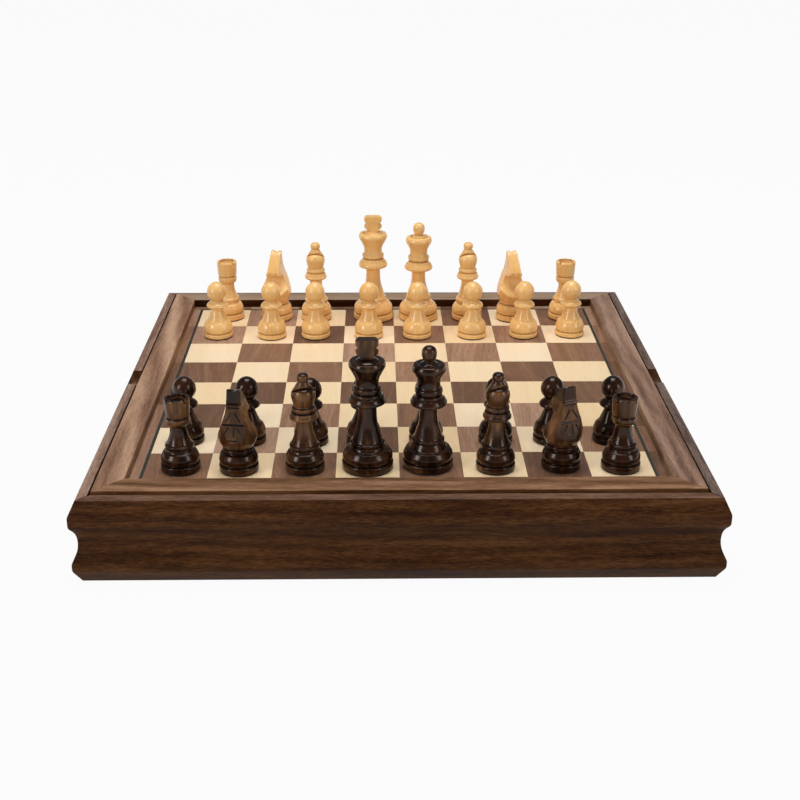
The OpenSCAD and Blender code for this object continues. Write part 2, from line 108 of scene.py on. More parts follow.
class Value:
    """An output socket. Sums on it add Math nodes to its own material."""

    def __init__(self, socket):
        self.socket = socket

    def math(self, operation, *others):
        node = self.socket.node.id_data.nodes.new("ShaderNodeMath")
        node.operation = operation
        for socket, item in zip(node.inputs, (self, *others)):
            link(item, socket)
        return Value(node.outputs[0])

    def __rsub__(self, other):
        return self * -1 + other

    __add__ = __radd__ = operator("ADD")
    __sub__ = operator("SUBTRACT")
    __mul__ = __rmul__ = operator("MULTIPLY")
    __pow__ = operator("POWER")


# %% A material that is built node by node
def colour(code):
    """The colour of a web code such as 8c6f5c, as the linear values that a shader works with."""
    parts = [int(code[i:i + 2], 16) / 255 for i in (0, 2, 4)]
    return (*[p / 12.92 if p <= 0.04045 else ((p + 0.055) / 1.055) ** 2.4 for p in parts], 1)


def colours(codes):
    return [colour(code) for code in codes.split()]


class Finish:
    """A material with a Principled shader. Keyword arguments set the shader's own sockets."""

    def __init__(self, name, **constants):
        self.material = bpy.data.materials.new(name)
        self.material.use_nodes = True
        self.tree = self.material.node_tree
        self.shader = self.tree.nodes["Principled BSDF"]
        for socket, number in constants.items():
            self.shader.inputs[socket.replace("_", " ")].default_value = number

    def node(self, kind, sockets, output=0, stops=None, **settings):
        """Adds one node: settings are its own properties, and sockets go by name or number."""
        node = self.tree.nodes.new("ShaderNode" + kind)
        for setting, choice in settings.items():
            setattr(node, setting, choice)
        if stops:
            ramp = node.color_ramp.elements
            while len(ramp) < len(stops):
                ramp.new(1)
            for element, (place, shade) in zip(ramp, stops):
                element.position, element.color = place, shade
        for socket, item in sockets.items():
            link(item, node.inputs[socket])
        return Value(node.outputs[output])

    def point(self):
        """The x, y and z of a point of the surface, in metres, in the box's own frame."""
        place = self.node("TexCoord", {}, output=3)
        return [self.node("SeparateXYZ", {0: place}, output=i) for i in range(3)]

    def facing_up(self):
        """1 where the surface faces up, 0 where it is upright, and -1 where it faces down."""
        return self.node("SeparateXYZ", {0: self.node("NewGeometry", {}, output=1)}, output=2)

    def groove(self):
        """How deep a point lies in a groove, from 0 to 1, which the piece's own mesh knows."""
        return self.node("Attribute", {}, output=2, attribute_name="groove")

    def noise(self, along, across, through, detail=2, roughness=0.5, seed=0.0):
        """Noise from 0 to 1 at a point given by three sums. Its size is set by what multiplies them."""
        place = self.node("CombineXYZ", {0: along + seed, 1: across, 2: through})
        return self.node("TexNoise", {"Vector": place, "Scale": 1, "Detail": detail, "Roughness": roughness})

    def between(self, value, low, high):
        """0 below low, 1 above high, and a smooth rise between them."""
        return self.node("MapRange", {0: value, 1: low, 2: high}, interpolation_type="SMOOTHSTEP")

    def mix(self, share, first, second):
        return self.node("Mix", {0: share, 6: first, 7: second}, output=2, data_type="RGBA")

    def ramp(self, tone, places, shades):
        """The colour at a tone, by way of shades that stand at given places from 0 to 1."""
        return self.node("ValToRGB", {0: tone}, stops=list(zip(places, shades)))

    def bump(self, height, depth):
        """Turns a height from 0 to 1 into a tilt of the surface, for a relief of that depth in metres."""
        relief = self.node("Bump", {"Strength": 1, "Distance": depth, "Height": height})
        link(relief, self.shader.inputs["Normal"])

    def paint(self, shade, roughness=None):
        link(shade, self.shader.inputs["Base Color"])
        if roughness is not None:
            link(roughness, self.shader.inputs["Roughness"])
        return self.material


print("ready to build finishes")

# %% [markdown]
# ## Wood
#
# A plank shows three things at once. The tree's yearly rings are cut at a slant, which gives long
# waves and pointed arches. Fibres run along the plank as fine streaks. Pores are short dark dashes in
# the same direction. An image could be wrapped round a plank, but a pattern worked out from the point
# itself runs on correctly over every edge and end, as real wood does. The rings are circles around a
# pith line that wanders a little outside the plank.
#
# Walnut has two more: soft clouds of colour, and wide bands that sway. A plank also has a second set of
# shades for what faces up: painted light makes those faces paler and greyer than the upright ones,
# which carry painted shade.


# %% The grain of a plank
# How often each mark repeats in a metre, along the grain and across it
STREAKS, FIBRES, PORES = (14, 400), (70, 1500), (230, 2100)
SWAY, LIFT = 30 * MM, 24 * MM


def plank(finish, along, pith, gap, wander=1.0, drift=0.0, seed=0.0, short=1.0):
    """Rings, streaks, fibres and pores of wood, each from 0 to 1.

    along is the letter of the grain's axis. pith is where the rings' centre lies across the plank and
    gap is the distance between rings. wander is how much the pith snakes, drift is how far it moves
    sideways for each metre, and short is how many times shorter streaks and fibres are than usual."""
    x, y, z = finish.point()
    length, width, depth = {"x": (x, y, z), "y": (y, x, z), "z": (z, x, y)}[along]
    sway = finish.noise(length * 5, width * 9, depth * 9, seed=seed)
    lift = finish.noise(length * 3, width * 6, depth * 6, detail=1, seed=seed + 7)
    side = width - pith[0] + length * drift + (sway - 0.5) * (SWAY * wander)
    down = depth - pith[1] + (lift - 0.5) * (LIFT * wander)
    distance = (side * side + down * down) ** 0.5
    rings = (distance * (2 * math.pi / gap)).math("SINE") * 0.5 + 0.5

    def marks(size, shortness, detail, roughness, seed):
        often, tight = size
        often *= shortness
        return finish.noise(length * often, width * tight, depth * tight, detail, roughness, seed)

    streaks = marks(STREAKS, short, 4, 0.65, seed)
    fibres = marks(FIBRES, short, 2, 0.6, seed + 3)
    dashes = marks(PORES, 1, 1, 0.5, seed + 5)
    return rings, streaks, fibres, finish.between(dashes, 0.6, 0.74)


def walnut(name, along, sides, lit_tops, seed, pith, gap, cloud, bands, fine, figure, short=1, drift=0.0):
    """Lacquered walnut, with two sets of darkest, middle and palest colours: one for upright faces, with
    painted shade, and one for faces that look up, with painted light.

    cloud, bands, fine and figure are the shares of its clouds, wide bands, streaks and rings."""
    finish = Finish(name, Specular_IOR_Level=0.12, Specular_Tint=(1, 0.82, 0.7, 1))
    rings, streaks, fibres, pores = plank(finish, along, pith, gap, 1.0, drift, seed, short)
    x, y, z = finish.point()
    length, width = (x, y) if along == "x" else (y, x)
    clouds = finish.noise(length * 9, width * 80, z * 80, detail=3, seed=seed + 20)
    sway = finish.noise(length * 9, width * 12, z * 12, detail=1, seed=seed + 30)
    bent = width * 105 + sway * 3.5
    wide = finish.noise(length * 4, bent, z * 105, detail=1, roughness=0.6, seed=seed + 40)
    tone = (clouds - 0.5) * cloud + (wide - 0.5) * bands + (rings - 0.5) * figure
    tone = tone + (streaks - 0.5) * fine + (fibres - 0.5) * (1.2 * fine) + 0.5
    # Upright faces take the darker set, as painted shade, and faces that look up the paler set, as painted
    # light.
    upright, flat = [finish.ramp(tone, (0.08, 0.5, 0.95), shades) for shades in (sides, lit_tops)]
    wood = finish.mix(finish.between(finish.facing_up(), 0.8, 0.95), upright, flat)
    wood = finish.mix(pores * (0.35 * fine), wood, sides[0])
    finish.bump(fibres * 0.5 - pores, 0.04 * MM)
    return finish.paint(wood, fibres * 0.14 + 0.4)


# The walls' dark side shades are painted shade on the upright moulding, and their paler top shades are
# painted light on the rims.
WALL_SHADED_SIDES = colours("29130a 452810 5f3c22")
WALL = {"gap": 7 * MM, "cloud": 0.8, "bands": 0.6, "fine": 1.25, "figure": 0.25, "short": 3}
walnut_x = walnut("walnut_along_x", "x", WALL_SHADED_SIDES, colours("4a3428 684c3b 826453"),
                  seed=1.5, pith=(-0.21, -0.03), **WALL)
walnut_left = walnut("walnut_left", "y", WALL_SHADED_SIDES, colours("684e40 896b5b a58a78"),
                     seed=4, pith=(-0.27, -0.03), **WALL)
walnut_right = walnut("walnut_right", "y", WALL_SHADED_SIDES, colours("4f3e36 6a584e 83726a"),
                      seed=6, pith=(-0.27, -0.03), **WALL)
# The rails' side shades are painted shade and light on their upright faces: darkest on the back rail, palest
# on the right rail, which faces the left lamp. Their top shades are painted light.
frame_front = walnut(
    "frame_walnut_front", "x", colours("2c180c 46290f 684529"), colours("52371f 7a573d a17c60"),
    seed=9, pith=(-0.15, 0.03), gap=5 * MM, drift=0.05, cloud=0.5, bands=1.6, fine=0.9, figure=0.2, short=2)
frame_back = walnut(
    "frame_walnut_back", "x", colours("231005 381c07 56351b"), colours("7c6452 998069 b39a85"),
    seed=11, pith=(-0.15, 0.03), gap=5 * MM, drift=0.05, cloud=0.5, bands=0.8, fine=0.6, figure=0.12)
frame_left = walnut(
    "frame_walnut_left", "y", colours("5e412d 835f45 a3805f"), colours("6c4c3b 97755d bf9b80"),
    seed=13, pith=(-0.19, 0.03), gap=13 * MM, drift=0.1, cloud=0.5, bands=0.9, fine=0.75, figure=0.6, short=2)
frame_right = walnut(
    "frame_walnut_right", "y", colours("6e5440 97775f b39478"), colours("5d4437 896a59 ab8c77"),
    seed=17, pith=(0.23, 0.03), gap=9 * MM, drift=0.04, cloud=0.4, bands=1.2, fine=0.8, figure=0.35, short=2)
print("each wall and rail is sawn from a plank of its own")

# %% [markdown]
# ## Veneer squares
#
# The squares are cut from sheets of veneer, so no two match in tone. Giving each its own material
# would take 64 of them. One material can tell them apart by rounding the point down to the corner of
# its square, and a White Noise texture turns that corner into a number that stays the same all over
# the square.

# %% Squares, margins and the black line
square = (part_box("light_squares")[1].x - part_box("light_squares")[0].x) / 8


def veneer(name, shades, contrast):
    """Veneer whose grain runs away from the player, cut anew for each square of the board."""
    finish = Finish(name, Specular_IOR_Level=0.3)
    x, y, z = finish.point()
    file, rank = [(side * (1 / square)).math("FLOOR") for side in (x, y)]
    corner = finish.node("CombineXYZ", {0: file, 1: rank})
    own = finish.node("TexWhiteNoise", {"Vector": corner}, noise_dimensions="3D")
    lean = finish.node("TexWhiteNoise", {"Vector": corner, "W": 3}, noise_dimensions="4D")
    slant = x + y * ((lean - 0.5) * 0.3) + own * 0.7
    bands = finish.noise(y * 4 + own * 9, slant * 130, z)
    streaks = finish.noise(y * 18 + own * 5, slant * 420, z, detail=3, roughness=0.6)
    fibres = finish.noise(y * 90, slant * 1300, z)
    dashes = finish.noise(y * 260, slant * 1900, z, detail=1)
    tone = (bands - 0.5) * 0.7 + (streaks - 0.5) * 0.5 + (fibres - 0.5) * 0.8
    tone = tone * contrast + (own - 0.5) * (0.9 * contrast) + 0.5
    wood = finish.ramp(tone, (0.05, 0.5, 0.95), shades)
    wood = finish.mix(finish.between(dashes, 0.58, 0.72) * (0.4 * contrast), wood, shades[0])
    finish.bump(fibres, 0.03 * MM)
    return finish.paint(wood, fibres * 0.12 + 0.42)


def black_line_finish():
    """Dyed veneer, nearly black."""
    finish = Finish("black_veneer", Roughness=0.45)
    x, y, z = finish.point()
    speck = finish.noise(x * 300, y * 300, z * 300)
    return finish.paint(finish.mix(speck, *colours("15160f 3c3f36")))


walnut_veneer = veneer("walnut_veneer", colours("664836 906a50 b8947c"), 0.95)
maple_veneer = veneer("maple_veneer", colours("eccb9b f4d9b0 f9e4c5"), 0.7)
black_veneer = black_line_finish()
print("squares of", round(square / MM, 2), "mm")

# %% [markdown]
# ## Plain inside woods and felt
#
# The base, the board's core and the drawer bottoms are plywood, and the drawer sides and dividers are
# a pale solid wood. Plywood gives itself away at its edge, where thin plies lie crosswise, so the same
# material darkens every other layer by height. Felt is short matted hair: no shine, a fine random nap
# and a soft sheen.


# %% Plywood, drawer wood, felt
PLY_PAIR = 2 * MM


def plywood_finish():
    finish = Finish("plywood", Specular_IOR_Level=0.25)
    z = finish.point()[2]
    rings, streaks, fibres, pores = plank(finish, "x", (-0.3, -0.1), 14 * MM, 2.0, 0.1, 31)
    wood = finish.mix(rings * 0.4 + streaks * 0.5, *colours("b38d60 dcc199"))
    ply = finish.between((z * (1 / PLY_PAIR)).math("FRACT"), 0.42, 0.58)
    edge = 1 - finish.between(finish.facing_up().math("ABSOLUTE"), 0.4, 0.6)
    wood = finish.mix(edge * ply * 0.55, wood, colour("8a6238"))
    finish.bump(fibres, 0.05 * MM)
    return finish.paint(wood, pores * 0.15 + 0.6)


def drawer_wood_finish(along):
    finish = Finish("drawer_wood_along_" + along, Specular_IOR_Level=0.3)
    rings, streaks, fibres, pores = plank(finish, along, (-0.4, -0.02), 9 * MM, 1.0, 0.02, 41)
    grain = finish.between(rings * 0.1 + streaks * 0.6 + fibres * 0.35, 0.25, 0.8)
    wood = finish.mix(grain, *colours("a3784c cfa877"))
    finish.bump(fibres, 0.05 * MM)
    return finish.paint(finish.mix(pores * 0.4, wood, colour("7d5833")), fibres * 0.15 + 0.5)


def felt_finish(name, deep, pale):
    finish = Finish(name, Roughness=0.95, Specular_IOR_Level=0.1, Sheen_Weight=0.35, Sheen_Roughness=0.5)
    x, y, z = finish.point()
    nap = finish.noise(x * 1900, y * 1900, z * 1900, detail=3, roughness=0.7)
    patch = finish.noise(x * 55, y * 55, z * 55, seed=3)
    finish.bump(nap, 0.25 * MM)
    return finish.paint(finish.mix(finish.between(nap * 0.6 + patch * 0.5, 0.3, 0.85), deep, pale))


plywood = plywood_finish()
drawer_x, drawer_y = drawer_wood_finish("x"), drawer_wood_finish("y")
green_felt = felt_finish("green_felt", *colours("0f3222 2c6046"))
black_felt = felt_finish("black_felt", *colours("0b0b0a 2a2927"))
print("inside woods and felts are ready")

# %% [markdown]
# ## Finishes of the men
#
# The pale men are boxwood, fine grained and honey coloured, under a thin polish. The dark men are the
# same wood stained nearly black. The stain sinks in unevenly, and handling wears it, so warm brown
# shows through in soft upright patches; faces that look up keep the dark stain as painted shade. A rook
# is worn on his tower and a knight on his mane, so each kind has a finish of its own. The grain is
# upright, because a man is turned along it.
#
# Grooves are darker: on the dark men some stain gathers in them, and the rest of that darkness, and all of
# it on the pale men, is painted shade. Dark lines could be painted at the right heights, but a finish
# that reads an attribute named groove from the mesh fits every man and moves with his outline.


# %% Boxwood and stained wood
def boxwood_finish():
    finish = Finish("boxwood", Specular_IOR_Level=0.45)
    x, y, z = finish.point()
    rings, streaks, fibres, pores = plank(finish, "z", (0.61, 0.37), 3.2 * MM, 0.5, 0, 51)
    patch = finish.noise(z * 18, x * 60, y * 60, seed=8)
    tone = (rings - 0.5) * 0.1 + (streaks - 0.5) * 0.4 + (patch - 0.5) * 0.8 + 0.5
    wood = finish.mix(finish.between(tone, 0.05, 0.95), *colours("eeb56b fbd08c"))
    wood = finish.mix(pores * 0.12, wood, colour("c0863f"))
    # Grooves are painted a darker brown: painted shade.
    wood = finish.mix(finish.groove() * 0.55, wood, colour("8a5520"))
    finish.bump(fibres, 0.02 * MM)
    return finish.paint(wood, fibres * 0.08 + 0.15)


def stained_finish(name, body, head, low, high, dark_above=None, seed=0):
    """Dark stain. body and head say how worn it is below the height low and above the height high."""
    finish = Finish(name, Specular_IOR_Level=0.34, Specular_Tint=(1, 0.85, 0.75, 1))
    x, y, z = finish.point()
    cloud = finish.noise(z * 30, x * 110, y * 110, detail=3, roughness=0.55, seed=seed)
    grain = finish.noise(z * 45, x * 450, y * 450, detail=3, roughness=0.6, seed=seed + 5)
    patch = finish.noise(z * 34, x * 75, y * 75, detail=3, roughness=0.6, seed=seed + 9)
    wear = finish.between(z, low * MM, high * MM) * (head - body) + body
    if dark_above:
        wear = wear * (1 - finish.between(z, dark_above * MM, (dark_above + 3) * MM) * 0.8)
    wear = wear * (1 - finish.between(x, 0, 40 * MM) * 0.35)
    tone = finish.between(cloud * 0.7 + grain * 0.3, 0.38, 0.66)
    stain = finish.mix(tone, *colours("0e0402 36190b"))
    brown = finish.mix(tone, *colours("46280f 8c623c"))
    share = finish.between((patch - 0.5) * 1.6 + wear, 0.1, 0.9)
    # Brown shows only on upright faces: faces that look up keep the dark stain, as painted shade.
    wood = finish.mix(share * (1 - finish.between(finish.facing_up(), 0.35, 0.85)), stain, brown)
    # Grooves are painted nearly black: partly stain gathered there, mostly painted shade.
    wood = finish.mix(finish.groove() * 0.9, wood, colour("0c0301"))
    finish.bump(grain, 0.01 * MM)
    return finish.paint(wood, cloud * 0.12 + 0.14)


# How worn body and head are, the heights in mm between which one passes into the other, and the
# height above which a knight's ears are dark again. The men at the right have been handled less.
WEAR = {"king": (0.22, 0.65, 115, 122), "queen": (0.22, 0.55, 112, 118), "pawn": (0.3, 0.15, 60, 70),
        "rook": (0.25, 0.8, 75, 82), "bishop": (0.3, 0.75, 60, 80), "knight": (0.2, 0.75, 62, 70, 92)}
boxwood = boxwood_finish()
stained = {kind: stained_finish("stained_" + kind, *wear, seed=3 * i)
           for i, (kind, wear) in enumerate(WEAR.items())}
print("the men are of", boxwood.name, "or stained:", *stained)

# %% [markdown]
# ## Dressing the joinery
#
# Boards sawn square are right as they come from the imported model. Their edges are knife sharp though,
# and no real edge is, because sandpaper breaks it. Welding the mesh's loose triangles and adding a
# Bevel modifier rounds each edge by a fraction of a millimetre and leaves the mesh itself alone.

# %% Give each square-sawn piece its wood and broken edges
WELD_REACH, BROKEN_EDGE = 0.01 * MM, 0.3 * MM
JOINERY = {
    "base_panel": plywood, "centre_partition": plywood, "board_core": plywood, "felt_pads": black_felt,
    "light_squares": maple_veneer, "dark_squares": walnut_veneer, "inlay_lines": black_veneer,
    "margin_strips": walnut_veneer,
}
DRAWER = {"sides": drawer_x, "back": drawer_y, "bottom": plywood, "dividers": drawer_x, "felt": green_felt}
for side in ("left", "right"):
    JOINERY |= {f"{side}_drawer_{part}": material for part, material in DRAWER.items()}

for node, material in JOINERY.items():
    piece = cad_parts[node]
    piece.data.materials.clear()
    piece.data.materials.append(material)
    if "veneer" not in material.name:
        weld = piece.modifiers.new("weld", "WELD")
        weld.merge_threshold = WELD_REACH
        edges = piece.modifiers.new("broken edges", "BEVEL")
        edges.width, edges.segments = BROKEN_EDGE, 2
print(len(JOINERY), "pieces of joinery are dressed")

# %% [markdown]
# ## Drawing outlines
#
# Mouldings and turned men start from the same thing: an outline with some sharp corners and some soft
# ones. Typing every point of a curve would hide its shape, so an outline here lists only its corners,
# each with how far before it the curve begins. The line is then drawn as by hand in edit mode, where
# one vertex is extruded from corner to corner.


# %% Soften an outline and draw it
CURVE_STEPS = 6
SAME_POINT = 0.002 * MM
SMOOTH_BELOW = math.radians(35)


def corner(before, here, after, reach):
    """The curve that replaces a corner, as a list of points."""
    start = here + (before - here).normalized() * min(reach, (before - here).length / 2)
    end = here + (after - here).normalized() * min(reach, (after - here).length / 2)
    shares = [i / CURVE_STEPS for i in range(CURVE_STEPS + 1)]
    return [start * (1 - t) ** 2 + here * 2 * t * (1 - t) + end * t ** 2 for t in shares]


def softened(outline):
    """Points of an outline whose corners are (across, up, softness)."""
    places = [Vector((across, up)) for across, up, _ in outline]
    line = [places[0]]
    for i in range(1, len(outline) - 1):
        reach = outline[i][2]
        line += corner(*places[i - 1:i + 2], reach) if reach else [places[i]]
    return line + [places[-1]]


def select_only(piece):
    deselect()
    piece.select_set(True)
    bpy.context.view_layer.objects.active = piece


def draw(name, points):
    """Starts a piece in edit mode: one vertex is extruded through all the points."""
    deselect()
    bpy.ops.mesh.primitive_plane_add(size=MM)
    piece = bpy.context.object
    piece.name = piece.data.name = name
    bpy.ops.object.mode_set(mode="EDIT")
    bpy.ops.mesh.merge(type="CENTER")
    bpy.ops.transform.translate(value=points[0])
    for before, after in zip(points, points[1:]):
        bpy.ops.mesh.extrude_region_move(TRANSFORM_OT_translate={"value": after - before})
    bpy.ops.mesh.select_all(action="SELECT")
    return piece


def leave_edit_mode(piece):
    """Joins doubled points, turns the faces outwards and smooths all but the real edges."""
    bpy.ops.mesh.select_all(action="SELECT")
    bpy.ops.mesh.remove_doubles(threshold=SAME_POINT)
    bpy.ops.mesh.normals_make_consistent(inside=False)
    bpy.ops.object.mode_set(mode="OBJECT")
    bpy.ops.object.shade_smooth_by_angle(angle=SMOOTH_BELOW)
    return piece


def apply_modifier(piece, kind, **settings):
    """Adds a modifier to a piece and applies it at once."""
    select_only(piece)
    modifier = piece.modifiers.new(kind, kind)
    for setting, choice in settings.items():
        setattr(modifier, setting, choice)
    bpy.ops.object.modifier_apply(modifier=modifier.name)


print("a soft corner takes", CURVE_STEPS + 1, "points")

# %% [markdown]
# ## The moulded walls
#
# All four walls come from one moulding: a slope, a bead, a hollow cove, a second bead and a foot.
# It could be bent round the box as one sweep, but the real one is sawn from a straight length at 45
# degrees, and its grain breaks at the mitres. So each wall is drawn as a section, pulled out along X,
# sawn twice with Bisect, and turned to its side of the box.

# %% Sizes of the moulding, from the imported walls
(_, _, foot), (half_plan, _, rim_top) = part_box("front_wall")
board_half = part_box("board_frame_right")[1].x
BEAD_OUT, COVE_OUT, BEAD_SOFT = 4.4 * MM, 0.5 * MM, 1.2 * MM
SLOPE_H, BEAD_H, COVE_H, LOW_BEAD_H = 9.1 * MM, 6.5 * MM, 23.4 * MM, 4.5 * MM
REBATE_DEEP, SEAT_DEEP = 5 * MM, 5.3 * MM
BASE_TOP, SEAT_TOP = 5 * MM, 41 * MM
rim_edge = half_plan - BEAD_OUT
wall_inside = board_half - SEAT_DEEP
print("the rim's outer edge is", round(rim_edge / MM, 1), "mm from the middle")


# %% The wall's section
def wall_section(rim_inside, foot_inside, seat):
    """(how far out, height) of a wall's corners: moulding outside, plain rebates inside."""
    bead, cove = rim_edge + BEAD_OUT, rim_edge + COVE_OUT
    under_slope = rim_top - SLOPE_H
    under_bead = under_slope - BEAD_H
    under_cove = under_bead - COVE_H
    moulding = softened([
        (rim_edge, rim_top, 0), (bead, under_slope, BEAD_SOFT), (bead, under_bead, BEAD_SOFT),
        (cove, under_bead - COVE_H / 4, COVE_H / 4), (cove, under_bead - COVE_H * 0.68, COVE_H / 5),
        (bead, under_cove, BEAD_SOFT), (bead, under_cove - LOW_BEAD_H, BEAD_SOFT), (rim_edge, foot, 0)])
    inside = [(foot_inside, foot), (foot_inside, BASE_TOP), (wall_inside, BASE_TOP), (wall_inside, seat),
              (rim_inside, seat), (rim_inside, rim_top)]
    return moulding + [Vector(place) for place in inside]


def mitred(name, section, gap=0.0):
    """A length of moulding on the box's near side, sawn to 45 degrees at both ends."""
    piece = draw(name, [Vector((-half_plan, -out, up)) for out, up in section])
    bpy.ops.mesh.edge_face_add()
    bpy.ops.mesh.extrude_region_move(TRANSFORM_OT_translate={"value": (2 * half_plan, 0, 0)})
    for side in (-1, 1):
        bpy.ops.mesh.select_all(action="SELECT")
        bpy.ops.mesh.bisect(plane_co=(0, -gap, 0), plane_no=(side, 1, 0), use_fill=True, clear_outer=True)
    return leave_edit_mode(piece)


def turn_to(piece, degrees):
    """Turns a finished piece about the middle of the box, in its mesh."""
    select_only(piece)
    piece.rotation_euler.z = math.radians(degrees)
    bpy.ops.object.transform_apply(location=True, rotation=True, scale=True)


def break_edges(piece, width=0.35 * MM):
    """Rounds each edge that is sharper than 30 degrees."""
    sharp = math.radians(30)
    apply_modifier(piece, "BEVEL", width=width, segments=3, limit_method="ANGLE", angle_limit=sharp)
    bpy.ops.object.shade_smooth_by_angle(angle=SMOOTH_BELOW)


def show_as(piece, node, body, material):
    """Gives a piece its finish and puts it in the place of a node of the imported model."""
    piece.data.materials.clear()
    piece.data.materials.append(material)
    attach(piece, body)
    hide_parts(node)


# %% Fixed walls at the near and far sides
BOARD_GAP = 0.5 * MM
fixed_section = wall_section(board_half + BOARD_GAP, wall_inside + REBATE_DEEP, SEAT_TOP)
for node, turn in (("front_wall", 0), ("back_wall", 180)):
    wall = mitred(node + "_moulded", fixed_section)
    break_edges(wall)
    turn_to(wall, turn)
    show_as(wall, node, "case", walnut_x)
    print(wall.name, len(wall.data.polygons), "faces")

# %% [markdown]
# ## The drawer fronts
#
# The side walls are the drawers' fronts, from the same moulding. Each has a half-round notch in its
# rim for a fingertip. A round cutter laid across the rim and a Boolean modifier take out exactly what
# a drill press with a large bit would, and the bevel afterwards breaks the notch's edge like the rest.

# %% Drawer fronts with their finger notches
NOTCH_W, NOTCH_D, CUTTER_LONG = 25 * MM, 9.5 * MM, 60 * MM
DRAWER_GAP, MITRE_GAP, SEAT_GAP = 1.7 * MM, 0.35 * MM, 0.5 * MM
notch_r = (NOTCH_W ** 2 / 4 + NOTCH_D ** 2) / (2 * NOTCH_D)
drawer_section = wall_section(board_half + DRAWER_GAP, wall_inside, SEAT_TOP - SEAT_GAP)


def cut(piece, cutter, operation="DIFFERENCE"):
    """Takes the cutter's shape out of a piece, or keeps what both share, and deletes the cutter."""
    apply_modifier(piece, "BOOLEAN", operation=operation, solver="EXACT", object=cutter)
    bpy.data.objects.remove(cutter)
    if not piece.data.vertices:
        raise RuntimeError(f"nothing is left of {piece.name}")


for side, turn, material in (("left", -90, walnut_left), ("right", 90, walnut_right)):
    front = mitred(f"{side}_drawer_front_moulded", drawer_section, MITRE_GAP)
    deselect()
    bpy.ops.mesh.primitive_cylinder_add(
        vertices=96, radius=notch_r, depth=CUTTER_LONG, rotation=(math.pi / 2, 0, 0),
        location=(0, -half_plan, rim_top + notch_r - NOTCH_D))
    cut(front, bpy.context.object)
    break_edges(front)
    turn_to(front, turn)
    show_as(front, f"{side}_drawer_front", f"{side}_drawer", material)

# %% [markdown]
# ## The board's frame
#
# The board sits in a raised frame of paler walnut, mitred like a picture frame, with a rebate under
# its inner lip that grips the core. Its two top edges are eased with a sanding block.

# %% Four mitred rails
lip_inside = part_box("margin_strips")[1].x
core_edge, _, core_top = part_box("board_core")[1]
(_, _, frame_low), (_, _, frame_top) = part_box("board_frame_front")
EASED, RAIL_EDGE = 0.8 * MM, 0.15 * MM
rail_section = softened([
    (core_edge, frame_low, 0), (core_edge, core_top, 0), (lip_inside, core_top, 0),
    (lip_inside, frame_top, EASED), (board_half, frame_top, EASED), (board_half, frame_low, 0)])
RAILS = (("front", 0, frame_front), ("back", 180, frame_back),
         ("left", -90, frame_left), ("right", 90, frame_right))
for name, turn, material in RAILS:
    rail = mitred(f"board_frame_{name}_rail", rail_section)
    break_edges(rail, RAIL_EDGE)
    turn_to(rail, turn)
    show_as(rail, f"board_frame_{name}", "case", material)
print("the frame's lip stands", round((frame_top - core_top) / MM, 1), "mm above the core")

# %% [markdown]
# ## Turned men
#
# A lathe makes a shape whose every slice is round, and Blender's Spin does the same: an outline
# beside the upright axis is swept once around it. Each outline is (radius, height, softness) in
# millimetres, from the middle of the foot to the top. Rings and collars are short steps with small
# softness, and the long waist is two or three corners with a large one. The felt under the foot is a
# second, thinner turning.

# %% Outlines of the men
FELT_T, GROOVE_T = 0.8, 0.5


def foot_ring(radius, top, softness, neck):
    """The foot of a man: a ring that stands on the felt, and the groove over it."""
    return [(0, FELT_T, 0), (radius, FELT_T, 0.6), (radius, top, softness),
            (neck, top + GROOVE_T, 0.2), (neck, top + 2 * GROOVE_T, 0.2)]


KING = [
    *foot_ring(15.4, 5.1, 0.9, 13.8), (15, 6.7, 0.6), (15.1, 9.9, 1.6), (13, 13.1, 0.6), (10.8, 13.6, 1),
    (10.1, 15.6, 0.5), (10.4, 16.4, 0.4), (10.4, 17.6, 0.3), (9.2, 18.4, 0.6), (7.6, 23.4, 4),
    (5.6, 30, 5), (5.4, 41.2, 0.3), (8.6, 41.6, 0.6), (11.1, 42.8, 0.8), (11.1, 44.6, 0.7),
    (9.9, 46.6, 0.5), (8.7, 47.3, 0.2), (8.5, 48.5, 0.5), (7.1, 49.2, 0.2), (7.1, 49.7, 0.2),
    (8.3, 50.2, 0.4), (8.3, 52.2, 0.6), (7.1, 53.2, 0.5), (6.7, 55.4, 1.5), (7.3, 58.6, 1.5),
    (10.7, 65, 0.4), (11, 66.8, 0.8), (10.2, 68.7, 0.4), (8, 68.9, 0.4), (7.4, 68.4, 0.3), (6, 69.3, 1),
    (4.2, 70, 0.3), (0, 70, 0)]
CROSS = [
    (0, 69.4, 0), (4.1, 69.4, 0), (3.8, 71, 0.8), (6.5, 73, 0.6), (6.8, 75, 0.6), (5.6, 76.6, 0.4),
    (5.6, 77, 0.2), (6.8, 78.2, 0.6), (6.9, 81, 0.7), (6, 82, 0.5), (0, 82, 0)]
QUEEN = [
    *foot_ring(15.2, 4.9, 0.9, 13.7), (14.9, 6.4, 0.6), (15, 9.2, 1.6), (13.2, 12.4, 0.6),
    (11, 12.9, 0.8), (10, 15.6, 0.8), (9.1, 16.9, 0.3), (9.9, 17.7, 0.4), (9.8, 18.7, 0.3),
    (8.6, 19.3, 0.6), (7.2, 24, 4), (5.4, 30, 5), (5.2, 39.4, 0.3), (8.4, 39.6, 0.6), (10.9, 40.8, 0.8),
    (10.9, 42.5, 0.7), (9.6, 44.6, 0.5), (8.2, 45.3, 0.2), (8, 46.5, 0.5), (6.8, 47.2, 0.2),
    (6.8, 47.7, 0.2), (8.2, 48.2, 0.4), (8.2, 50.4, 0.6), (7, 51.6, 0.5), (6.6, 54, 1.5), (7.2, 57, 1.5),
    (10, 62, 0.4), (10.1, 63.6, 0.8), (9.3, 65.6, 0.5), (7.2, 66.2, 0.4), (6, 65.7, 0.3),
    (4.6, 66.4, 0.5), (3.1, 67.6, 0.3), (3.1, 68.2, 0.3), (4.45, 70, 1.6), (4.5, 74.6, 2),
    (2.4, 76.7, 1.4), (0, 76.7, 0)]
